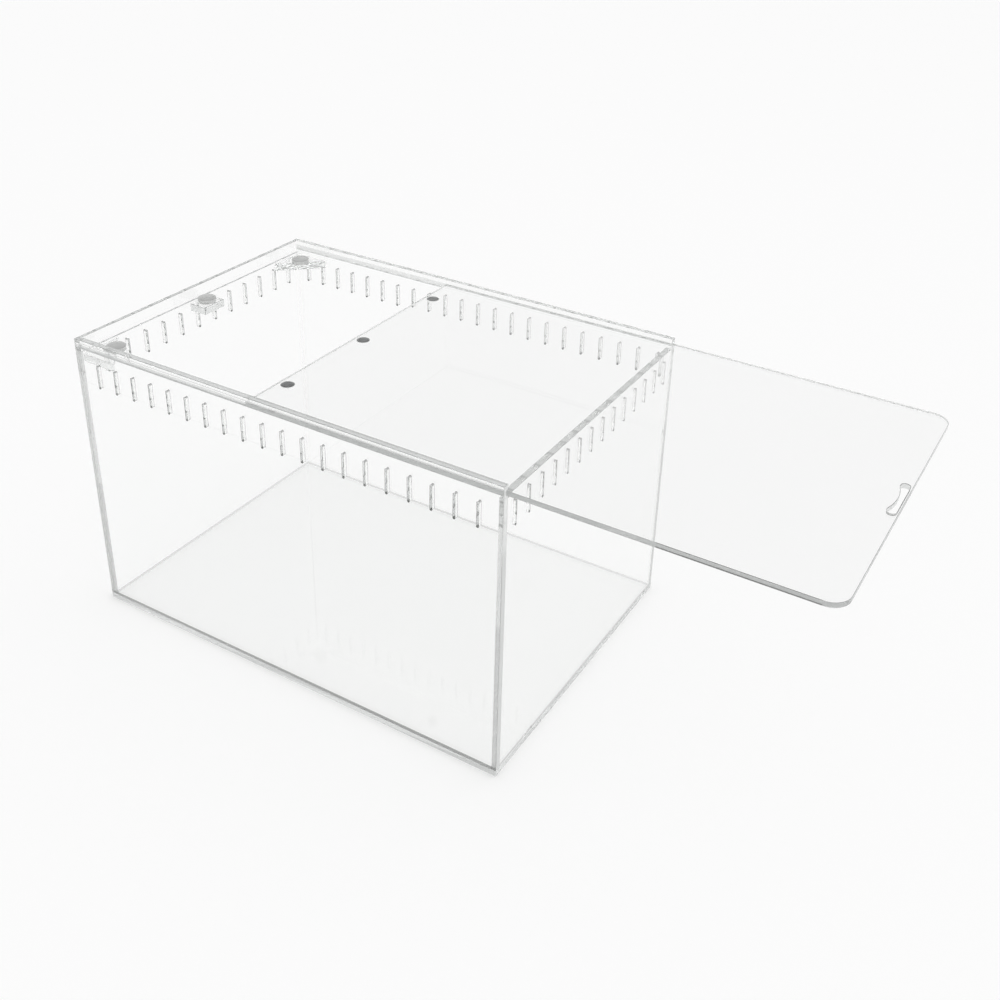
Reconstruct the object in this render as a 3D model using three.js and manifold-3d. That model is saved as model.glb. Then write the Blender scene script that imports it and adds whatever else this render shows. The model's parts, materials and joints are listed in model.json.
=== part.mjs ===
// Clear acrylic terrarium for a spider: a glued box with vent slots and a lid that slides in two grooves.
// Millimetres, +Z up. The origin is the middle of the underside, and the lid slides open along +X.
import * as THREE from "three";
import { mergeVertices } from "three/addons/utils/BufferGeometryUtils.js";
import Module from "manifold-3d";

// Tank
const TANK_LENGTH = 300;
const TANK_DEPTH = 205;
const TANK_HEIGHT = 191;
const WALL_THICKNESS = 4;
const BASE_THICKNESS = 4;

// Grooves in the front and back walls, and the step in the left wall where the lid stops
const LIP_HEIGHT = 2.95;
const GROOVE_HEIGHT = 3.3;
const GROOVE_DEPTH = 2;
const STOP_STEP_DEPTH = 1.2;
const STOP_STEP_DROP = 2; // below the grooves' floor

// Lid
const LID_THICKNESS = 3;
const LID_OVERHANG = 39.2; // past the right wall when the lid is shut
const LID_OPENING = 129.7; // how far the lid is pulled open in this model
const LID_CORNER_RADIUS = 10;
const LID_SIDE_CLEARANCE = 0.3;
const LID_END_CLEARANCE = 0.3;
const LID_UNDER_CLEARANCE = 0.1;

// Finger hole beside the lid's free end, narrower at its middle
const HOLE_LENGTH = 31.3;
const HOLE_END_RADIUS = 2.4;
const HOLE_WAIST_WIDTH = 2.7;
const HOLE_WAIST_LENGTH = 23.5;
const HOLE_BAR_WIDTH = 1.2;

// Vent slots
const SLOT_WIDTH = 1.5;
const SLOT_HEIGHT = 15.5;
const SLOT_DROP = 13.7; // from the walls' top edge to the slots' upper ends
const FRONT_SLOT_COUNT = 20;
const FRONT_SLOT_LEFT_MARGIN = 17.2; // from the tank's corner to the nearest slot's middle
const FRONT_SLOT_RIGHT_MARGIN = 15;
const BACK_SLOT_COUNT = 22;
const BACK_SLOT_LEFT_MARGIN = 12.4;
const BACK_SLOT_RIGHT_MARGIN = 9.5;
const LEFT_SLOT_COUNT = 12;
const LEFT_SLOT_FRONT_MARGIN = 21.9;
const LEFT_SLOT_BACK_MARGIN = 14.8;
const RIGHT_SLOT_COUNT = 14;
const RIGHT_SLOT_MARGIN = 12.5;
const RIGHT_WALL_CLEARANCE = 1.9; // from the right wall's top edge up to the grooves' floor

// Magnets set in the lid from below
const LID_MAGNET_RADIUS = 4;
const LID_MAGNET_HEIGHT = 2;
const LID_MAGNET_END_INSET = 6;
const LID_MAGNET_FRONT_INSET = 27.7;
const LID_MAGNET_BACK_INSET = 26.2;
const LID_MAGNET_MIDDLE_SHIFT = 2; // of the middle magnet towards the front
const POCKET_CLEARANCE = 0.3;

// Magnets on the tank, and the clear gussets and block that carry them
const TANK_MAGNET_RADIUS = 6;
const TANK_MAGNET_HEIGHT = 3;
const TANK_MAGNET_CLEARANCE = 0.3; // between the tank's magnets and the shut lid
const GUSSET_LEG = 26;
const GUSSET_MAGNET_INSET = 12.5;
const BRACKET_THICKNESS = 5.2;
const BLOCK_DEPTH = 13;
const BLOCK_LENGTH = 18;
const MAGNET_CHAMFER = 0.4;

// Faceting and cuts
const OVERRUN = 1;
const SLOT_ARC_SEGMENTS = 4;
const LID_ARC_SEGMENTS = 8;
const MAGNET_SEGMENTS = 48;

// Places that several pieces share
const wallHeight = TANK_HEIGHT - BASE_THICKNESS;
const innerLength = TANK_LENGTH - 2 * WALL_THICKNESS;
const innerDepth = TANK_DEPTH - 2 * WALL_THICKNESS;
const grooveFloor = TANK_HEIGHT - LIP_HEIGHT - GROOVE_HEIGHT;
const lidUnderside = grooveFloor + LID_UNDER_CLEARANCE;
const lidWidth = innerDepth + 2 * (GROOVE_DEPTH - LID_SIDE_CLEARANCE);
const shutLidEnd = -innerLength / 2 - STOP_STEP_DEPTH + LID_END_CLEARANCE;
const lidLength = TANK_LENGTH / 2 + LID_OVERHANG - shutLidEnd;
const bracketTop = grooveFloor - TANK_MAGNET_CLEARANCE - TANK_MAGNET_HEIGHT;
const bracketUnderside = bracketTop - BRACKET_THICKNESS;

// Materials
const acrylic = () =>
  new THREE.MeshStandardMaterial({
    color: 0xf2f6f4,
    roughness: 0.06,
    metalness: 0,
    transparent: true,
    opacity: 0.35,
    side: THREE.DoubleSide,
  });
const nickel = () => new THREE.MeshStandardMaterial({ color: 0xa9a9a4, roughness: 0.22, metalness: 1 });
const darkNickel = () => new THREE.MeshStandardMaterial({ color: 0x3e4444, roughness: 0.35, metalness: 0.7 });

// Solids: joined vertices in, plain faceted geometry out
const wasm = await Module();
wasm.setup();

function solidOf(geometry) {
  const bare = geometry.clone();
  bare.deleteAttribute("normal");
  bare.deleteAttribute("uv");
  const merged = mergeVertices(bare);
  return new wasm.Manifold(
    new wasm.Mesh({
      numProp: 3,
      vertProperties: merged.attributes.position.array,
      triVerts: new Uint32Array(merged.index.array),
    }),
  );
}

function geometryOf(solid) {
  const { vertProperties, triVerts } = solid.getMesh();
  const geometry = new THREE.BufferGeometry();
  geometry.setAttribute("position", new THREE.BufferAttribute(vertProperties, 3));
  geometry.setIndex(new THREE.BufferAttribute(triVerts, 1));
  const faceted = geometry.toNonIndexed();
  faceted.computeVertexNormals();
  return faceted;
}

function cut(geometry, cutters) {
  return geometryOf(cutters.reduce((rest, cutter) => rest.subtract(solidOf(cutter)), solidOf(geometry)));
}

function extruded(shape, depth, curveSegments = 1) {
  return new THREE.ExtrudeGeometry(shape, { depth, curveSegments, bevelEnabled: false });
}

function named(name, geometry, material) {
  const mesh = new THREE.Mesh(geometry, material);
  mesh.name = name;
  return mesh;
}

function rectangle(width, height, left = -width / 2, bottom = 0) {
  return new THREE.Shape([
    new THREE.Vector2(left, bottom),
    new THREE.Vector2(left + width, bottom),
    new THREE.Vector2(left + width, bottom + height),
    new THREE.Vector2(left, bottom + height),
  ]);
}

// Base panel, under the walls' whole footprint
function basePanel() {
  const panel = named(
    "base_panel",
    extruded(rectangle(TANK_LENGTH, TANK_DEPTH), BASE_THICKNESS),
    acrylic(),
  );
  panel.position.y = -TANK_DEPTH / 2;
  return panel;
}

// Walls, drawn upright with the inner face at the back of the drawing, x along the wall and y up
function slotHole(x) {
  const radius = SLOT_WIDTH / 2;
  const top = wallHeight - SLOT_DROP - radius;
  const bottom = top - SLOT_HEIGHT + SLOT_WIDTH;
  const hole = new THREE.Path();
  hole.absarc(x, top, radius, 0, Math.PI, false);
  hole.absarc(x, bottom, radius, Math.PI, 2 * Math.PI, false);
  hole.closePath();
  return hole;
}

function slottedPanel(width, height, count, firstSlot, lastSlot) {
  const shape = rectangle(width, height);
  const pitch = (lastSlot - firstSlot) / (count - 1);
  for (let i = 0; i < count; i += 1) shape.holes.push(slotHole(firstSlot + i * pitch));
  return extruded(shape, WALL_THICKNESS, SLOT_ARC_SEGMENTS);
}

function innerFaceCut(width, height, bottom, depth) {
  const cutter = extruded(rectangle(width, height, -width / 2, bottom), depth + OVERRUN);
  return cutter.translate(0, 0, -OVERRUN);
}

function wallOn(side, distance, name, geometry) {
  const wall = named(name, geometry, acrylic());
  wall.rotation.x = Math.PI / 2;
  wall.position.set(0, -distance, BASE_THICKNESS);
  const turned = new THREE.Group();
  turned.rotation.z = { front: 0, right: Math.PI / 2, back: Math.PI, left: -Math.PI / 2 }[side];
  turned.add(wall);
  return turned;
}

function longWall(side, count, firstMargin, lastMargin) {
  const firstSlot = firstMargin - TANK_LENGTH / 2;
  const lastSlot = TANK_LENGTH / 2 - lastMargin;
  const panel = slottedPanel(TANK_LENGTH, wallHeight, count, firstSlot, lastSlot);
  const groove = innerFaceCut(
    TANK_LENGTH + 2 * OVERRUN,
    GROOVE_HEIGHT,
    grooveFloor - BASE_THICKNESS,
    GROOVE_DEPTH,
  );
  return wallOn(side, innerDepth / 2, side + "_wall", cut(panel, [groove]));
}

function leftWall() {
  const firstSlot = LEFT_SLOT_BACK_MARGIN - TANK_DEPTH / 2;
  const lastSlot = TANK_DEPTH / 2 - LEFT_SLOT_FRONT_MARGIN;
  const panel = slottedPanel(innerDepth, wallHeight, LEFT_SLOT_COUNT, firstSlot, lastSlot);
  const stepFloor = grooveFloor - STOP_STEP_DROP;
  const step = innerFaceCut(
    innerDepth + 2 * OVERRUN,
    TANK_HEIGHT - stepFloor + OVERRUN,
    stepFloor - BASE_THICKNESS,
    STOP_STEP_DEPTH,
  );
  return wallOn("left", innerLength / 2, "left_wall", cut(panel, [step]));
}

function rightWall() {
  const height = grooveFloor - RIGHT_WALL_CLEARANCE - BASE_THICKNESS;
  const lastSlot = TANK_DEPTH / 2 - RIGHT_SLOT_MARGIN;
  const panel = slottedPanel(innerDepth, height, RIGHT_SLOT_COUNT, -lastSlot, lastSlot);
  return wallOn("right", innerLength / 2, "right_wall", panel);
}

// Lid, drawn from its inner end at x = 0 to its free end
function lidOutline() {
  const side = lidWidth / 2;
  const cornerX = lidLength - LID_CORNER_RADIUS;
  const cornerY = side - LID_CORNER_RADIUS;
  const outline = new THREE.Shape();
  outline.moveTo(0, -side);
  outline.lineTo(cornerX, -side);
  outline.absarc(cornerX, -cornerY, LID_CORNER_RADIUS, -Math.PI / 2, 0, false);
  outline.absarc(cornerX, cornerY, LID_CORNER_RADIUS, 0, Math.PI / 2, false);
  outline.lineTo(0, side);
  outline.closePath();
  outline.holes.push(fingerHole());
  return outline;
}

// The hole's round ends, its straight side by the bar and its inner side, which bulges towards the bar
function fingerHole() {
  const endX = lidLength - HOLE_BAR_WIDTH - HOLE_END_RADIUS;
  const endY = HOLE_LENGTH / 2 - HOLE_END_RADIUS;
  const bulge = 2 * HOLE_END_RADIUS - HOLE_WAIST_WIDTH;
  const halfChord = HOLE_WAIST_LENGTH / 2;
  const bulgeRadius = (halfChord ** 2 + bulge ** 2) / (2 * bulge);
  const bulgeX = lidLength - HOLE_BAR_WIDTH - HOLE_WAIST_WIDTH - bulgeRadius;
  const bulgeAngle = Math.asin(halfChord / bulgeRadius);
  const hole = new THREE.Path();
  hole.absarc(endX, endY, HOLE_END_RADIUS, 0, Math.PI, false);
  hole.absarc(bulgeX, 0, bulgeRadius, bulgeAngle, -bulgeAngle, true);
  hole.absarc(endX, -endY, HOLE_END_RADIUS, Math.PI, 2 * Math.PI, false);
  hole.closePath();
  return hole;
}

const lidMagnetPlaces = {
  front: LID_MAGNET_FRONT_INSET - lidWidth / 2,
  middle: -LID_MAGNET_MIDDLE_SHIFT,
  back: lidWidth / 2 - LID_MAGNET_BACK_INSET,
};

function lid() {
  const pockets = Object.values(lidMagnetPlaces).map((across) =>
    new THREE.CylinderGeometry(
      LID_MAGNET_RADIUS + POCKET_CLEARANCE,
      LID_MAGNET_RADIUS + POCKET_CLEARANCE,
      LID_MAGNET_HEIGHT + OVERRUN,
      MAGNET_SEGMENTS,
    )
      .rotateX(Math.PI / 2)
      .translate(LID_MAGNET_END_INSET, across, (LID_MAGNET_HEIGHT - OVERRUN) / 2),
  );
  const plate = extruded(lidOutline(), LID_THICKNESS, LID_ARC_SEGMENTS);
  const sliding = new THREE.Group();
  sliding.position.set(shutLidEnd + LID_OPENING, 0, lidUnderside);
  sliding.add(named("sliding_lid", cut(plate, pockets), acrylic()));
  for (const [place, across] of Object.entries(lidMagnetPlaces)) {
    const magnet = disc(place + "_lid_magnet", LID_MAGNET_RADIUS, LID_MAGNET_HEIGHT, darkNickel());
    magnet.position.set(LID_MAGNET_END_INSET, across, 0);
    sliding.add(magnet);
  }
  return sliding;
}

// Disc magnet with bevelled rims, standing on its underside
function disc(name, radius, height, material) {
  const profile = [
    new THREE.Vector2(0, 0),
    new THREE.Vector2(radius - MAGNET_CHAMFER, 0),
    new THREE.Vector2(radius, MAGNET_CHAMFER),
    new THREE.Vector2(radius, height - MAGNET_CHAMFER),
    new THREE.Vector2(radius - MAGNET_CHAMFER, height),
    new THREE.Vector2(0, height),
  ];
  const magnet = named(name, new THREE.LatheGeometry(profile, MAGNET_SEGMENTS), material);
  magnet.rotation.x = Math.PI / 2;
  return magnet;
}

// Triangular gusset in a left corner, with its magnet over the middle of its long edge
function gusset(place) {
  const across = place === "front" ? -1 : 1;
  const cornerX = -innerLength / 2;
  const cornerY = (across * innerDepth) / 2;
  const triangle = new THREE.Shape([
    new THREE.Vector2(cornerX, cornerY),
    new THREE.Vector2(cornerX + GUSSET_LEG, cornerY),
    new THREE.Vector2(cornerX, cornerY - across * GUSSET_LEG),
  ]);
  const plate = named(place + "_gusset", extruded(triangle, BRACKET_THICKNESS), acrylic());
  plate.position.z = bracketUnderside;
  const magnet = tankMagnet(place, cornerX + GUSSET_MAGNET_INSET, cornerY - across * GUSSET_MAGNET_INSET);
  return [plate, magnet];
}

// Small block on the left wall for the middle magnet
function middleBlock() {
  const wallX = -innerLength / 2;
  const outline = rectangle(BLOCK_DEPTH, BLOCK_LENGTH, wallX, lidMagnetPlaces.middle - BLOCK_LENGTH / 2);
  const block = named("middle_magnet_block", extruded(outline, BRACKET_THICKNESS), acrylic());
  block.position.z = bracketUnderside;
  return [block, tankMagnet("middle", wallX + BLOCK_DEPTH / 2, lidMagnetPlaces.middle)];
}

function tankMagnet(place, x, y) {
  const magnet = disc(place + "_tank_magnet", TANK_MAGNET_RADIUS, TANK_MAGNET_HEIGHT, nickel());
  magnet.position.set(x, y, bracketTop);
  return magnet;
}

// Assembly
const terrarium = new THREE.Group();
terrarium.add(basePanel());
terrarium.add(longWall("front", FRONT_SLOT_COUNT, FRONT_SLOT_LEFT_MARGIN, FRONT_SLOT_RIGHT_MARGIN));
terrarium.add(longWall("back", BACK_SLOT_COUNT, BACK_SLOT_RIGHT_MARGIN, BACK_SLOT_LEFT_MARGIN));
terrarium.add(leftWall());
terrarium.add(rightWall());
terrarium.add(...gusset("front"), ...gusset("back"), ...middleBlock());
terrarium.add(lid());

export default terrarium;
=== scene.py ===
import json
import math

import bmesh
import bpy
from mathutils import Matrix, Vector
from mathutils.geometry import tessellate_polygon

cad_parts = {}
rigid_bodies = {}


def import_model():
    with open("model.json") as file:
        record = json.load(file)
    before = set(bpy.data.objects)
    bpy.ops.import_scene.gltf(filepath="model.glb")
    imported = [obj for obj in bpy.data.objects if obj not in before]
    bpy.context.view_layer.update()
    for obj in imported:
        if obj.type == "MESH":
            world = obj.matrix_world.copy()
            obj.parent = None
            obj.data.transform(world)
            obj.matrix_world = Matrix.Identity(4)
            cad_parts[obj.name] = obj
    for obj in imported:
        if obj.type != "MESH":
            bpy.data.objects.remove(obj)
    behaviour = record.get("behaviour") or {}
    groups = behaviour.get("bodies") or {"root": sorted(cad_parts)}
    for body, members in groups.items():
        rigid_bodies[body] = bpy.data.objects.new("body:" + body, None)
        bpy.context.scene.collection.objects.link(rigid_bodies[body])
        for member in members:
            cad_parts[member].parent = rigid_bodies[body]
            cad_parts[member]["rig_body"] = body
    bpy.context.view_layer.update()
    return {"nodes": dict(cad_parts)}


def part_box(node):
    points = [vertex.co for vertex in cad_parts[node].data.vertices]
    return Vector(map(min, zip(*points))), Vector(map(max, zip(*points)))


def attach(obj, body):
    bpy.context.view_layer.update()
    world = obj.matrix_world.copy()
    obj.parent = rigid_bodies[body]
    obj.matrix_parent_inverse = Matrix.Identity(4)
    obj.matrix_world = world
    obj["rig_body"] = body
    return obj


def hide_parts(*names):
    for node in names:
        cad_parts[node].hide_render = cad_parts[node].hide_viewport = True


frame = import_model()

# Sizes
MM = 0.001
SEAM = 0.02 * MM  # the air left between glued sheets, and the closeness at which places count as one
CHAMFER = 0.2 * MM  # broken edges of the sheets
SLOT_CHAMFER = 0.1 * MM
LIP_HEIGHT = 2.95 * MM
GROOVE_DEPTH = 2 * MM
LID_UNDER_CLEARANCE = 0.1 * MM
STOP_STEP_DEPTH = 1.2 * MM
STOP_STEP_DROP = 2 * MM
CLEAN_FROM = 2.8 * MM  # the cutter's marks on a groove's back end this far above its floor
SLOT_WIDTH = 1.5 * MM
SLOT_HEIGHT = 15.5 * MM
SLOT_DROP = 13.7 * MM
SLOT_ROWS = {  # how many, and how far the first and the last are from the tank's corners
    "front": (20, 17.2 * MM, 15 * MM),
    "back": (22, 9.5 * MM, 12.4 * MM),
    "left": (12, 14.8 * MM, 21.9 * MM),
    "right": (14, 12.5 * MM, 12.5 * MM),
}
HOLE_LENGTH = 31.3 * MM
HOLE_END_RADIUS = 2.4 * MM
HOLE_WAIST_WIDTH = 2.7 * MM
HOLE_WAIST_LENGTH = 23.5 * MM
HOLE_BAR_WIDTH = 1.2 * MM
LID_BAND = 0.95 * MM  # height of the dark band low on the lid's front edge, by the free end
LID_BAND_LENGTH = 79 * MM
LID_CORNER_RADIUS = 10 * MM
POCKET_CLEARANCE = 0.08 * MM
RIM_RADIUS = 0.45 * MM  # rounded rim of a magnet
ARC_STEPS = 14
RIM_STEPS = 6
DISC_STEPS = 96
SMOOTH_ANGLE = math.radians(25)

tank_low, tank_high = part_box("base_panel")[0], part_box("front_wall")[1]
lid_low, lid_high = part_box("sliding_lid")
groove_floor = lid_low.z - LID_UNDER_CLEARANCE
step_floor = groove_floor - STOP_STEP_DROP
slot_top = tank_high.z - SLOT_DROP

# Finishes, which are places in a mesh's list of materials
FACE, EDGE, MILLED, CUT, RIM, CUT_RIM, GLUED, UNDER, END = range(9)


# Camera, fitted to the photo's straight edges
IMAGE_PX = 1000
SENSOR_MM = 36
FOCAL_PX = 1200.3
CENTRE_PX = (514.65, 374.2)
CAMERA_PLACE = (0.397956, -0.530189, 0.505948)
AZIMUTH, ELEVATION, ROLL = 0.519, 0.473, 0.033
NEAREST_SEEN = 0.01


def add_camera():
    back = Vector((
        math.sin(AZIMUTH) * math.cos(ELEVATION),
        -math.cos(AZIMUTH) * math.cos(ELEVATION),
        math.sin(ELEVATION),
    ))
    level = Vector((0, 0, 1)).cross(back).normalized()
    upright = back.cross(level)
    right = level * math.cos(ROLL) + upright * math.sin(ROLL)
    up = upright * math.cos(ROLL) - level * math.sin(ROLL)
    data = bpy.data.cameras.new("camera")
    data.sensor_width = SENSOR_MM
    data.lens = FOCAL_PX / IMAGE_PX * SENSOR_MM
    data.shift_x = 0.5 - CENTRE_PX[0] / IMAGE_PX
    data.shift_y = CENTRE_PX[1] / IMAGE_PX - 0.5
    data.clip_start = NEAREST_SEEN
    camera = bpy.data.objects.new("camera", data)
    turn = Matrix((right, up, back)).transposed().to_4x4()
    camera.matrix_world = Matrix.Translation(CAMERA_PLACE) @ turn
    bpy.context.scene.collection.objects.link(camera)
    bpy.context.scene.camera = camera


# Outlines in a plane, anticlockwise
def arc(centre, radius, start, end, steps=ARC_STEPS):
    angles = [start + (end - start) * i / steps for i in range(steps + 1)]
    return [Vector((centre[0] + radius * math.cos(a), centre[1] + radius * math.sin(a))) for a in angles]


def rectangle(low, high):
    return [Vector(low), Vector((high[0], low[1])), Vector(high), Vector((low[0], high[1]))]


def stadium(x, low, high, width):
    radius = width / 2
    upper = arc((x, high - radius), radius, 0, math.pi)
    return upper + arc((x, low + radius), radius, math.pi, 2 * math.pi)


def circle(centre, radius):
    return arc(centre, radius, 0, 2 * math.pi, DISC_STEPS)[:-1]


def inset(outline, distance):
    """The outline moved inwards by distance, or outwards if that is negative."""
    moved = []
    for i, corner in enumerate(outline):
        before = (corner - outline[i - 1]).normalized()
        after = (outline[(i + 1) % len(outline)] - corner).normalized()
        inward = Vector((-before.y - after.y, before.x + after.x))
        moved.append(corner + inward * distance / (1 + before.dot(after)))
    return moved


def chamfered(outline, sharp=()):
    """The outline with its corners cut off, apart from those whose numbers are in sharp."""
    cut = []
    for i, corner in enumerate(outline):
        before = (corner - outline[i - 1]).normalized()
        after = (outline[(i + 1) % len(outline)] - corner).normalized()
        if i in sharp:
            cut.append(corner)
        else:
            cut += [corner - before * CHAMFER, corner + after * CHAMFER]
    return cut


# Closed meshes, made of rings of corners
class Shell:
    """A mesh in the making; place turns the three numbers of a drawing into a place in the model."""

    def __init__(self, place):
        self.mesh = bmesh.new()
        self.place = place

    def ring(self, points):
        return [self.mesh.verts.new(self.place(*point)) for point in points]

    def bridge(self, one, other, finish):
        for i in range(len(one)):
            self.quad(one, other, i, finish)

    def quad(self, one, other, i, finish):
        face = self.mesh.faces.new((one[i - 1], one[i], other[i], other[i - 1]))
        face.material_index = finish

    def fill(self, rings, finish):
        """A flat face within the first ring, with the other rings as its holes."""
        corners = [corner for ring in rings for corner in ring]
        faces = []
        for triangle in tessellate_polygon([[corner.co for corner in ring] for ring in rings]):
            face = self.mesh.faces.new([corners[i] for i in triangle])
            face.material_index = finish
            faces.append(face)
        bmesh.ops.beautify_fill(self.mesh, faces=faces, edges=self.edges_between(set(faces)))

    def edges_between(self, faces):
        """The edges that join two of the faces, always in the same order."""
        joined = [edge for edge in self.mesh.edges if len(edge.link_faces) == 2]
        return [edge for edge in joined if faces.issuperset(edge.link_faces)]

    def refinish(self, finish, chosen):
        """Gives another finish to the faces whose middles are chosen."""
        for face in self.mesh.faces:
            if chosen(face.calc_center_median()):
                face.material_index = finish

    def make_piece(self, name, node, materials):
        """The mesh as an object that rides with a node of the solids and stands for it."""
        bmesh.ops.recalc_face_normals(self.mesh, faces=self.mesh.faces)
        data = bpy.data.meshes.new(name)
        self.mesh.to_mesh(data)
        self.mesh.free()
        data.shade_smooth()
        data.set_sharp_from_angle(angle=SMOOTH_ANGLE)
        for material in materials:
            data.materials.append(material)
        piece = bpy.data.objects.new(name, data)
        bpy.context.scene.collection.objects.link(piece)
        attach(piece, frame["nodes"][node]["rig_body"])
        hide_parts(node)


# Flat sheets, drawn from above
def broken_side(shell, outline, side, thickness, finish, upper_finish, band=None):
    """A sheet's cut side with broken edges, and its rings on the two faces.

    side is 1 round the sheet and -1 round a hole, and band is the height of one more ring.
    """
    drawn_in = inset(outline, side * CHAMFER)
    steps = [(drawn_in, 0), (outline, CHAMFER), (outline, thickness - CHAMFER), (drawn_in, thickness)]
    if band:
        steps.insert(2, (outline, band))
    rings = [shell.ring([(p.x, p.y, height) for p in points]) for points, height in steps]
    for one, other in zip(rings, rings[1:]):
        shell.bridge(one, other, upper_finish if other is rings[-1] else finish)
    return rings[0], rings[-1]


def sheet(shell, outline, thickness, holes=(), pockets=(), upper_finish=EDGE, band=None):
    """A flat sheet: holes go through it, and pockets are (outline, depth) cut into its underside."""
    sides = [broken_side(shell, outline, 1, thickness, EDGE, upper_finish, band)]
    sides += [broken_side(shell, hole, -1, thickness, CUT, CUT_RIM) for hole in holes]
    under = [low for low, high in sides]
    for pocket, depth in pockets:
        mouth = shell.ring([(p.x, p.y, 0) for p in pocket])
        floor = shell.ring([(p.x, p.y, depth) for p in pocket])
        shell.bridge(mouth, floor, FACE)
        shell.fill([floor], FACE)
        under.append(mouth)
    shell.fill(under, FACE)
    shell.fill([high for low, high in sides], FACE)


# Walls, swept along x from a section in (depth, height)
def drawn_in_end(section, thickness, top):
    """The section with its outer and top sides moved in; a long wall's other end edges are glued."""
    outer = thickness - 2 * CHAMFER
    upper = top - 2 * CHAMFER
    end = []
    for p, q in zip(section, inset(section, CHAMFER)):
        end.append(Vector((q.x if p.x > outer else p.x, q.y if p.y > upper else p.y)))
    return end


def wall_end(shell, section, place, finish, glued, thickness, top):
    """A wall's end at a place along it, with broken edges unless it is glued, and its ring."""
    if glued:
        ring = shell.ring([(place, p.x, p.y) for p in section])
        shell.fill([ring], finish)
        return ring
    drawn_in = drawn_in_end(section, thickness, top)
    outer = shell.ring([(place, p.x, p.y) for p in drawn_in])
    ring = shell.ring([(place - math.copysign(CHAMFER, place), p.x, p.y) for p in section])
    shell.bridge(outer, ring, EDGE)
    shell.fill([outer], finish)
    return ring


def slotted_wall(shell, section, half_length, slots, thickness, top, end_finishes):
    """A wall with slots through its two upright faces."""
    glued = EDGE not in end_finishes
    places = zip((-half_length, half_length), end_finishes)
    ends = [wall_end(shell, section, place, finish, glued, thickness, top) for place, finish in places]
    loops = [stadium(x, slot_top - SLOT_HEIGHT, slot_top, SLOT_WIDTH) for x in slots]
    rims = [slot_rims(shell, loop, thickness) for loop in loops]
    for i, point in enumerate(section):
        before = section[i - 1]
        upright = abs(point.x - before.x) < SEAM
        low, high = sorted((before.y, point.y))
        if upright and low < slot_top - SLOT_HEIGHT and high > slot_top:
            border = [ends[0][i - 1], ends[0][i], ends[1][i], ends[1][i - 1]]
            inner = point.x < thickness / 2
            shell.fill([border] + [rim[0 if inner else 1] for rim in rims], FACE)
        else:
            finish = strip_finish((before + point) / 2, section[0].y, thickness, top, glued)
            shell.quad(ends[0], ends[1], i, finish)


def strip_finish(middle, bottom, thickness, top, end_wall):
    """The finish of a strip along a wall, by its middle in the wall's section."""
    if middle.y < bottom + CHAMFER:
        return RIM if middle.x > thickness - CHAMFER else UNDER
    if middle.y > top - 2 * CHAMFER:
        return EDGE if end_wall or middle.y > top - SEAM else FACE
    low_in_groove = abs(middle.x - GROOVE_DEPTH) < SEAM and middle.y < groove_floor + CLEAN_FROM
    return MILLED if low_in_groove or middle.y < groove_floor + CHAMFER else FACE


def slot_rims(shell, loop, thickness):
    """A slot's side with broken edges, through the depth, and its rims on the inner and outer face."""
    wide = inset(loop, -SLOT_CHAMFER)
    steps = ((wide, 0), (loop, SLOT_CHAMFER), (loop, thickness - SLOT_CHAMFER), (wide, thickness))
    rings = [shell.ring([(p.x, depth, p.y) for p in points]) for points, depth in steps]
    shell.bridge(rings[0], rings[1], CUT_RIM)
    shell.bridge(rings[2], rings[3], CUT_RIM)
    for i, point in enumerate(loop):
        straight = (point - loop[i - 1]).length > SLOT_WIDTH
        shell.quad(rings[1], rings[2], i, CUT if straight else CUT_RIM)
    return rings[0], rings[-1]


# Node materials
class Tree:
    """A material's nodes, added with their inputs set and linked in one call."""

    def __init__(self, name):
        self.material = bpy.data.materials.new(name)
        self.material.use_nodes = True
        self.nodes = self.material.node_tree.nodes
        self.links = self.material.node_tree.links
        self.nodes.clear()

    def add(self, kind, settings=None, **inputs):
        node = self.nodes.new(kind)
        for key, value in (settings or {}).items():
            setattr(node, key, value)
        for key, value in inputs.items():
            self.put(node.inputs[key.replace("_", " ")], value)
        return node

    def put(self, socket, value):
        if isinstance(value, bpy.types.NodeSocket):
            self.links.new(value, socket)
        else:
            socket.default_value = value

    def noise(self, scale, detail, stretch=(1, 1, 1)):
        """Noise with scale grains to the metre, stretched where an axis has less than 1."""
        place = self.add("ShaderNodeTexCoord").outputs["Object"]
        mapped = self.add("ShaderNodeMapping", Vector=place, Scale=stretch).outputs["Vector"]
        return self.add("ShaderNodeTexNoise", Vector=mapped, Scale=scale, Detail=detail).outputs["Fac"]

    def between(self, value, low, high):
        return self.add("ShaderNodeMapRange", Value=value, To_Min=low, To_Max=high).outputs["Result"]

    def blend(self, value, one, other):
        mix = self.add("ShaderNodeMix", {"data_type": "RGBA"})
        self.put(mix.inputs["Factor"], value)
        self.put(mix.inputs["A"], (*one, 1))
        self.put(mix.inputs["B"], (*other, 1))
        return mix.outputs["Result"]

    def bump(self, height, strength, distance):
        bump = self.add("ShaderNodeBump", Height=height, Strength=strength, Distance=distance)
        return bump.outputs["Normal"]

    def output(self, shader):
        self.add("ShaderNodeOutputMaterial", Surface=shader)
        return self.material


ACRYLIC_IOR = 1.49
ALONG = 1.0
ACROSS = 0.03

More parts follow.
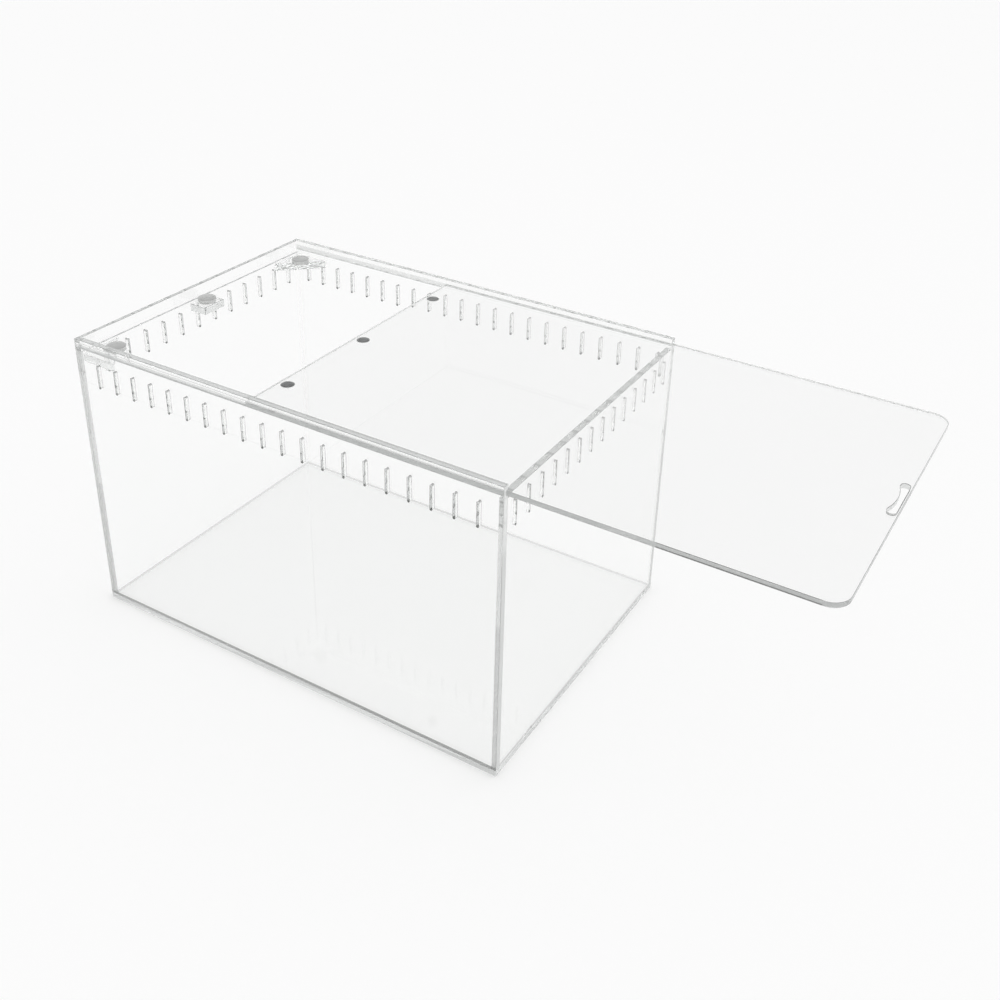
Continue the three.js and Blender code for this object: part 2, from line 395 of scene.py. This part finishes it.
# Noises, as scale, detail and stretch, and bumps, as strength and distance
CLOUDS = (14, 2)
WIPING_MARKS = (60, 6, (1, 0.15, 0.3))
WAVES = (11, 1)
WAVE_BUMP = (0.05, 0.6 * MM)
STROKES = (1400, 4)
STROKE_PATCHES = (55, 3)
STROKE_BUMP = (0.04, 0.02 * MM)
CUTTER_GRAIN = (1900, 3)
CUTTER_PATCHES = (120, 2)
CUTTER_BUMP = (0.1, 0.03 * MM)
BRUSHED_GRAIN = (2600, 3, (1, 0.06, 0.2))
STAINS = (210, 4)
BRUSHED_BUMP = (0.12, 0.02 * MM)
PAPER_GRAIN = (900, 2)
PAPER_BUMP = (0.02, 0.05 * MM)
FACE_ROUGHEST = 0.02
MILLED_ROUGHNESS = (0.15, 0.3)
MILLED_CLEARNESS = 0.65


def glass(tree, tint, roughness, normal, shade, clearness=1.0):
    """Acrylic that bends what is seen through it and lets the lamps' light through, dimmed to shade."""
    solid = tree.add(
        "ShaderNodeBsdfPrincipled",
        Base_Color=tint,
        Roughness=roughness,
        IOR=ACRYLIC_IOR,
        Transmission_Weight=clearness,
        Normal=normal,
    )
    open_way = tree.add("ShaderNodeBsdfTransparent", Color=(*shade, 1))
    path = tree.add("ShaderNodeLightPath")
    lamp_ray = tree.add("ShaderNodeMath", {"operation": "MAXIMUM"})
    tree.put(lamp_ray.inputs[0], path.outputs["Is Shadow Ray"])
    tree.put(lamp_ray.inputs[1], path.outputs["Is Diffuse Ray"])
    mix = tree.add("ShaderNodeMixShader")
    tree.put(mix.inputs[0], lamp_ray.outputs[0])
    tree.put(mix.inputs[1], solid.outputs[0])
    tree.put(mix.inputs[2], open_way.outputs[0])
    return tree.output(mix.outputs[0])


def clear_face(name, light_tint, deep_tint, shade):
    """Polished sheet: slow waves in the surface, a hardly seen haze and wiping marks."""
    tree = Tree(name)
    tint = tree.blend(tree.noise(*CLOUDS), light_tint, deep_tint)
    roughness = tree.between(tree.noise(*WIPING_MARKS), 0.0, FACE_ROUGHEST)
    normal = tree.bump(tree.noise(*WAVES), *WAVE_BUMP)
    return glass(tree, tint, roughness, normal, shade)


def cut_edge(name, stretch, light_tint, deep_tint, shade, roughest, clearness):
    """Sawn and polished edge: fine strokes across the sheet's thickness."""
    tree = Tree(name)
    strokes = tree.noise(*STROKES, stretch)
    patches = tree.noise(*STROKE_PATCHES, stretch)
    tint = tree.blend(patches, light_tint, deep_tint)
    roughness = tree.between(strokes, 0.0, roughest)
    normal = tree.bump(strokes, *STROKE_BUMP)
    return glass(tree, tint, roughness, normal, shade, clearness)


def milled(name, light_tint, deep_tint, shade):
    """Surface left by a cutter: a finer grain than the sawn edges, and frosted."""
    tree = Tree(name)
    grain = tree.noise(*CUTTER_GRAIN)
    tint = tree.blend(tree.noise(*CUTTER_PATCHES), light_tint, deep_tint)
    roughness = tree.between(grain, *MILLED_ROUGHNESS)
    normal = tree.bump(grain, *CUTTER_BUMP)
    return glass(tree, tint, roughness, normal, shade, MILLED_CLEARNESS)


def nickel(name, light, dark, smoothest, roughest):
    """Plated disc: a fine brushed grain and faint stains."""
    tree = Tree(name)
    grain = tree.noise(*BRUSHED_GRAIN)
    colour = tree.blend(tree.noise(*STAINS), light, dark)
    shader = tree.add(
        "ShaderNodeBsdfPrincipled",
        Base_Color=colour,
        Metallic=1.0,
        Roughness=tree.between(grain, smoothest, roughest),
        Normal=tree.bump(grain, *BRUSHED_BUMP),
    )
    return tree.output(shader.outputs[0])


# Cut edges: light and deep tint, shade for the lamp's light, greatest roughness and clearness
FACE_SHADE = (0.992, 0.993, 0.992)
EDGE_SHADE = (0.8, 0.805, 0.8)
WALL_EDGE = ((0.66, 0.67, 0.665), (0.56, 0.57, 0.565), EDGE_SHADE, 0.08, 0.55)
BASE_EDGE = ((0.84, 0.85, 0.845), (0.76, 0.77, 0.765), EDGE_SHADE, 0.06, 0.75)
LID_EDGE = ((0.62, 0.63, 0.625), (0.53, 0.54, 0.535), EDGE_SHADE, 0.1, 0.5)
BACK_EDGE = ((0.8, 0.81, 0.805), (0.72, 0.73, 0.725), EDGE_SHADE, 0.08, 0.7)
BRACKET_EDGE = ((0.94, 0.95, 0.945), (0.88, 0.89, 0.885), EDGE_SHADE, 0.05, 0.92)
HOLE_CUT = ((0.97, 0.975, 0.97), (0.92, 0.925, 0.92), EDGE_SHADE, 0.1, 0.3)
SLOT_CUT = ((0.9, 0.91, 0.905), (0.83, 0.84, 0.835), EDGE_SHADE, 0.05, 0.87)
SLOT_RIM = ((0.24, 0.245, 0.24), (0.17, 0.175, 0.17), EDGE_SHADE, 0.08, 0.35)
GLUED_END = ((0.7, 0.71, 0.705), (0.62, 0.63, 0.625), EDGE_SHADE, 0.05, 0.68)
OPEN_END = ((0.86, 0.87, 0.865), (0.79, 0.8, 0.795), EDGE_SHADE, 0.1, 0.35)
# painted shade: a dark finish that stands in for the contact shadow along the front wall's foot
FRONT_FOOT_PAINTED_SHADE = ((0.2, 0.205, 0.2), (0.13, 0.135, 0.13), EDGE_SHADE, 0.08, 0.3)
LENGTHWISE_STROKES = {"x": (ALONG, ACROSS, ALONG), "y": (ACROSS, ALONG, ALONG)}
UPRIGHT_STROKES = (ALONG, ALONG, ACROSS)
EVEN_STROKES = (ALONG, ALONG, ALONG)

tank_face = clear_face("acrylic_face", (0.998, 0.999, 0.998), (0.991, 0.993, 0.991), FACE_SHADE)
lid_face = clear_face("lid_face", (0.996, 0.997, 0.996), (0.987, 0.989, 0.987), FACE_SHADE)
seam_rim = clear_face("seam_rim", (0.95, 0.955, 0.95), (0.88, 0.89, 0.885), EDGE_SHADE)
front_edge = cut_edge("wall_edge_x", LENGTHWISE_STROKES["x"], *WALL_EDGE)
side_edge = cut_edge("wall_edge_y", LENGTHWISE_STROKES["y"], *WALL_EDGE)
back_edge = cut_edge("back_edge", LENGTHWISE_STROKES["x"], *BACK_EDGE)
base_edge = cut_edge("base_edge", UPRIGHT_STROKES, *BASE_EDGE)
bracket_edge = cut_edge("bracket_edge", UPRIGHT_STROKES, *BRACKET_EDGE)
lid_edge = cut_edge("lid_edge", UPRIGHT_STROKES, *LID_EDGE)
glued_end = cut_edge("glued_end", UPRIGHT_STROKES, *GLUED_END)
open_end = cut_edge("open_end", UPRIGHT_STROKES, *OPEN_END)
hole_face = cut_edge("cut_hole", EVEN_STROKES, *HOLE_CUT)
slot_face = cut_edge("cut_slot", EVEN_STROKES, *SLOT_CUT)
slot_rim = cut_edge("slot_rim", EVEN_STROKES, *SLOT_RIM)
front_foot_painted_shade = cut_edge("front_foot_painted_shade", EVEN_STROKES, *FRONT_FOOT_PAINTED_SHADE)
groove_face = milled("milled_groove", (0.76, 0.77, 0.765), (0.67, 0.68, 0.675), EDGE_SHADE)
back_groove = milled("back_groove", (0.86, 0.87, 0.865), (0.78, 0.79, 0.785), EDGE_SHADE)
bright_nickel = nickel("bright_nickel", (0.62, 0.625, 0.62), (0.54, 0.545, 0.54), 0.12, 0.24)
dark_nickel = nickel("dark_nickel", (0.075, 0.085, 0.085), (0.05, 0.057, 0.057), 0.3, 0.42)


def finishes(face, edge, groove=groove_face, cut=slot_face, rim=seam_rim, under=tank_face):
    """A sheet's materials, in the order of FACE to END."""
    return face, edge, groove, cut, rim, slot_rim, glued_end, under, open_end


wall_finishes = {
    # the front wall's lower outer broken edge and underside take the dark finish as painted shade of the
    # contact shadow along its foot
    "front": finishes(tank_face, front_edge, rim=front_foot_painted_shade, under=front_foot_painted_shade),
    "back": finishes(tank_face, back_edge, groove=back_groove),
    "left": finishes(tank_face, side_edge),
    "right": finishes(tank_face, side_edge),
}
END_FINISHES = {  # of a wall's two ends, in its own x
    "front": (EDGE, END),
    "back": (EDGE, EDGE),
    "left": (FACE, GLUED),
    "right": (GLUED, FACE),
}


# Sheets of the tank
def make_base():
    low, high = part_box("base_panel")
    shell = Shell(lambda u, v, w: Vector((u, v, low.z + w)))
    sheet(shell, rectangle(low.xy, high.xy), high.z - low.z, upper_finish=RIM)
    shell.make_piece("base_panel_sheet", "base_panel", finishes(tank_face, base_edge))


def slot_places(side, length, offset):
    """Middles of a row's slots along its wall; offset is from the tank's corner to the wall's end."""
    count, first_margin, last_margin = SLOT_ROWS[side]
    first = first_margin - offset - length / 2
    last = length / 2 + offset - last_margin
    return [first + (last - first) * i / (count - 1) for i in range(count)]


def wall_section(side, thickness, bottom, top):
    """A wall's section, with depth 0 at its inner face; glued and milled corners stay sharp."""
    outer_part = [Vector((0, bottom)), Vector((thickness, bottom)), Vector((thickness, top))]
    if side == "right":
        return chamfered(outer_part + [Vector((0, top))], (0,))
    if side == "left":
        step = ((STOP_STEP_DEPTH, top), (STOP_STEP_DEPTH, step_floor), (0, step_floor))
        return chamfered(outer_part + [Vector(p) for p in step], (0, 4))
    lip = top - LIP_HEIGHT
    clean = groove_floor + CLEAN_FROM
    groove = ((0, lip), (GROOVE_DEPTH, lip), (GROOVE_DEPTH, clean), (GROOVE_DEPTH, groove_floor))
    inner_part = ((0, top), *groove, (0, groove_floor))
    return chamfered(outer_part + [Vector(p) for p in inner_part], (0, 5, 6, 7))


def make_wall(side):
    """A wall in its own x, depth and height, turned to its side of the tank."""
    node = side + "_wall"
    low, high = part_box(node)
    centre = (low + high) / 2
    along_x = side in ("front", "back")
    length = high.x - low.x if along_x else high.y - low.y - 2 * SEAM
    thickness = high.y - low.y if along_x else high.x - low.x
    offset = 0 if along_x else low.y - tank_low.y + SEAM
    outward = 1 if side in ("back", "right") else -1

    def place(x, depth, height):
        out = outward * (depth - thickness / 2)
        if along_x:
            return Vector((-outward * x, centre.y + out, height))
        return Vector((centre.x + out, outward * x, height))

    shell = Shell(place)
    section = wall_section(side, thickness, low.z + SEAM, high.z)
    slots = slot_places(side, length, offset)
    slotted_wall(shell, section, length / 2, slots, thickness, high.z, END_FINISHES[side])
    shell.make_piece(node + "_sheet", node, wall_finishes[side])


# Gussets and block under the tank's magnets
def make_gusset(place, across):
    """A gusset in a left corner; across is 1 at the back wall and -1 at the front one."""
    node = place + "_gusset"
    low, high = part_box(node)
    corner = Vector((low.x + SEAM, (high.y if across > 0 else low.y) - across * SEAM))
    leg = high.x - low.x - SEAM
    triangle = [corner, corner + Vector((leg, 0)), corner + Vector((0, -across * leg))]
    if across > 0:
        triangle.reverse()
    shell = Shell(lambda u, v, w: Vector((u, v, low.z + w)))
    sheet(shell, chamfered(triangle), high.z - low.z)
    shell.make_piece(node + "_sheet", node, finishes(tank_face, bracket_edge))


def make_block():
    node = "middle_magnet_block"
    low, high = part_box(node)
    outline = chamfered(rectangle((low.x + SEAM, low.y), high.xy))
    shell = Shell(lambda u, v, w: Vector((u, v, low.z + w)))
    sheet(shell, outline, high.z - low.z)
    shell.make_piece(node + "_sheet", node, finishes(tank_face, bracket_edge))


# Magnets
def make_magnet(node, material):
    low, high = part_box(node)
    centre = (low + high) / 2
    radius = (high.x - low.x) / 2
    height = high.z - low.z - SEAM
    lower = arc((radius - RIM_RADIUS, RIM_RADIUS), RIM_RADIUS, -math.pi / 2, 0, RIM_STEPS)
    upper = arc((radius - RIM_RADIUS, height - RIM_RADIUS), RIM_RADIUS, 0, math.pi / 2, RIM_STEPS)
    shell = Shell(lambda u, v, w: Vector((centre.x + u, centre.y + v, low.z + SEAM + w)))
    rings = []
    for point in lower + upper:
        rings.append(shell.ring([(p.x, p.y, point.y) for p in circle((0, 0), point.x)]))
    for one, other in zip(rings, rings[1:]):
        shell.bridge(one, other, FACE)
    shell.fill([rings[0]], FACE)
    shell.fill([rings[-1]], FACE)
    shell.make_piece(node + "_disc", node, (material,))


# Lid
def finger_hole():
    end_x = lid_high.x - HOLE_BAR_WIDTH - HOLE_END_RADIUS
    end_y = HOLE_LENGTH / 2 - HOLE_END_RADIUS
    bulge = 2 * HOLE_END_RADIUS - HOLE_WAIST_WIDTH
    half_chord = HOLE_WAIST_LENGTH / 2
    bulge_radius = (half_chord**2 + bulge**2) / (2 * bulge)
    bulge_x = lid_high.x - HOLE_BAR_WIDTH - HOLE_WAIST_WIDTH - bulge_radius
    bulge_angle = math.asin(half_chord / bulge_radius)
    hole = arc((end_x, end_y), HOLE_END_RADIUS, 0, math.pi)
    hole += arc((bulge_x, 0), bulge_radius, bulge_angle, -bulge_angle)
    return hole + arc((end_x, -end_y), HOLE_END_RADIUS, math.pi, 2 * math.pi)


def lid_outline():
    """The lid's outline, with one more corner where the dark band begins."""
    corner = (lid_high.x - LID_CORNER_RADIUS, lid_high.y - LID_CORNER_RADIUS)
    inner_end = [Vector((lid_low.x, lid_high.y)), Vector((lid_low.x, lid_low.y))]
    free_end = [Vector((corner[0], lid_low.y)), Vector((corner[0], lid_high.y))]
    outline = chamfered(inner_end + free_end)[:4]  # the inner end alone, with its corners cut
    outline.append(Vector((corner[0] - LID_BAND_LENGTH, lid_low.y)))
    outline += arc((corner[0], -corner[1]), LID_CORNER_RADIUS, -math.pi / 2, 0)
    return outline + arc(corner, LID_CORNER_RADIUS, 0, math.pi / 2)


def magnet_pockets():
    pockets = []
    for place in ("front", "middle", "back"):
        low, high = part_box(place + "_lid_magnet")
        centre = (low + high) / 2
        radius = (high.x - low.x) / 2 + POCKET_CLEARANCE
        pockets.append((circle(centre.xy, radius), high.z - lid_low.z + SEAM))
    return pockets


def in_dark_band(middle):
    """Whether a face is low on the front edge by the lid's free end, or on the broken edge above."""
    band_end = lid_high.x - LID_CORNER_RADIUS
    along = band_end - LID_BAND_LENGTH < middle.x < band_end
    low = middle.y < lid_low.y + SEAM and middle.z < lid_low.z + LID_BAND
    broken = middle.y < lid_low.y + CHAMFER and lid_high.z - CHAMFER < middle.z < lid_high.z - SEAM
    return along and (low or broken)


def in_hole_painted_shade(middle):
    """Whether a face is on the finger hole's side by the bar or round its near end, which take a dark
    finish as painted shade.
    """
    bar_x = lid_high.x - HOLE_BAR_WIDTH
    beside = bar_x - 2 * HOLE_END_RADIUS - CHAMFER < middle.x < bar_x + HOLE_BAR_WIDTH / 2
    upright = lid_low.z + SEAM < middle.z < lid_high.z - SEAM
    by_bar = middle.x > bar_x - CHAMFER and abs(middle.y) < HOLE_LENGTH / 2
    near_end = -HOLE_LENGTH / 2 - CHAMFER < middle.y < HOLE_END_RADIUS - HOLE_LENGTH / 2
    return beside and upright and (by_bar or near_end)


def make_lid():
    shell = Shell(lambda u, v, w: Vector((u, v, lid_low.z + w)))
    thickness = lid_high.z - lid_low.z
    sheet(shell, lid_outline(), thickness, [finger_hole()], magnet_pockets(), band=LID_BAND)
    shell.refinish(CUT_RIM, in_dark_band)
    # painted shade: the finger hole's side by the bar and round its near end take the dark slot-rim
    # finish
    shell.refinish(CUT_RIM, in_hole_painted_shade)
    materials = finishes(lid_face, lid_edge, cut=hole_face)
    shell.make_piece("sliding_lid_sheet", "sliding_lid", materials)


# Studio: a pale floor, an even light from all round and one wide lamp
FLOOR_RADIUS = 8
FLOOR_DROP = 0.2 * MM
FLOOR_COLOUR = (0.965, 0.965, 0.965)
FLOOR_ROUGHNESS = 0.7
FLOOR_SHINE = 0.1


def make_floor():
    mesh = bmesh.new()
    bmesh.ops.create_circle(mesh, cap_ends=True, segments=DISC_STEPS, radius=FLOOR_RADIUS)
    bmesh.ops.translate(mesh, verts=mesh.verts, vec=(0, 0, tank_low.z - FLOOR_DROP))
    data = bpy.data.meshes.new("floor")
    mesh.to_mesh(data)
    mesh.free()
    tree = Tree("floor_paper")
    shader = tree.add(
        "ShaderNodeBsdfPrincipled",
        Base_Color=(*FLOOR_COLOUR, 1),
        Roughness=FLOOR_ROUGHNESS,
        Specular_IOR_Level=FLOOR_SHINE,
        Normal=tree.bump(tree.noise(*PAPER_GRAIN), *PAPER_BUMP),
    )
    data.materials.append(tree.output(shader.outputs[0]))
    floor = bpy.data.objects.new("floor", data)
    bpy.context.scene.collection.objects.link(floor)


WHITE = 0.97
WORLD_LIGHT = 0.86
STUDIO_TONES = (  # how light the studio is from the horizon, 0, to straight above, 1
    (0.0, WHITE), (0.28, WHITE), (0.42, 0.8), (0.55, 0.7), (0.85, 0.5), (0.96, WHITE), (1.0, WHITE),
)


def background(tree, colour, strength=1.0):
    node = tree.nodes.new("ShaderNodeBackground")
    if isinstance(colour, bpy.types.NodeSocket):
        tree.links.new(colour, node.inputs["Color"])
    else:
        node.inputs["Color"].default_value = (colour, colour, colour, 1)
    node.inputs["Strength"].default_value = strength
    return node.outputs[0]


def tones_by_height(tree, height, tones):
    ramp = tree.nodes.new("ShaderNodeValToRGB")
    tree.links.new(height, ramp.inputs["Fac"])
    while len(ramp.color_ramp.elements) < len(tones):
        ramp.color_ramp.elements.new(0.5)  # moved to its own place below
    for element, (position, tone) in zip(ramp.color_ramp.elements, tones):
        element.position = position
        element.color = (tone, tone, tone, 1)
    return background(tree, ramp.outputs["Color"])


def make_world():
    """A plain light, which mirrors and clear sheets see as a studio greyer between floor and ceiling."""
    world = bpy.data.worlds.new("studio")
    world.use_nodes = True
    tree = world.node_tree
    tree.nodes.clear()
    direction = tree.nodes.new("ShaderNodeTexCoord")
    parts = tree.nodes.new("ShaderNodeSeparateXYZ")
    tree.links.new(direction.outputs["Generated"], parts.inputs[0])
    path = tree.nodes.new("ShaderNodeLightPath")
    studio = tones_by_height(tree, parts.outputs["Z"], STUDIO_TONES)
    shader = background(tree, 1.0, WORLD_LIGHT)
    for ray, other in (
        ("Is Transmission Ray", studio),
        ("Is Glossy Ray", studio),
        ("Is Camera Ray", background(tree, WHITE)),
    ):
        mix = tree.nodes.new("ShaderNodeMixShader")
        tree.links.new(path.outputs[ray], mix.inputs[0])
        tree.links.new(shader, mix.inputs[1])
        tree.links.new(other, mix.inputs[2])
        shader = mix.outputs[0]
    output = tree.nodes.new("ShaderNodeOutputWorld")
    tree.links.new(shader, output.inputs["Surface"])
    bpy.context.scene.world = world


LAMP_AIM = Vector((0.45, 0.75, 1.5))  # from the object to the lamp
LAMP_WIDTH = math.radians(55)
LAMP_STRENGTH = 0.55


def make_lamp():
    data = bpy.data.lights.new("softbox", "SUN")
    data.angle = LAMP_WIDTH
    data.energy = LAMP_STRENGTH
    lamp = bpy.data.objects.new("softbox", data)
    lamp.rotation_euler = LAMP_AIM.to_track_quat("Z", "Y").to_euler()
    lamp.visible_glossy = False
    lamp.visible_transmission = False
    bpy.context.scene.collection.objects.link(lamp)


# Long light paths, for many clear faces one behind another
MOST_BOUNCES = 120


def set_paths():
    scene = bpy.context.scene
    scene.view_settings.view_transform = "Standard"
    scene.cycles.max_bounces = MOST_BOUNCES
    scene.cycles.transmission_bounces = MOST_BOUNCES
    scene.cycles.glossy_bounces = MOST_BOUNCES
    scene.cycles.transparent_max_bounces = MOST_BOUNCES


add_camera()
make_base()
for wall_side in ("front", "back", "left", "right"):
    make_wall(wall_side)
make_gusset("front", -1)
make_gusset("back", 1)
make_block()
make_lid()
for magnet_place in ("front", "middle", "back"):
    make_magnet(magnet_place + "_tank_magnet", bright_nickel)
    make_magnet(magnet_place + "_lid_magnet", dark_nickel)
make_floor()
make_world()
make_lamp()
set_paths()
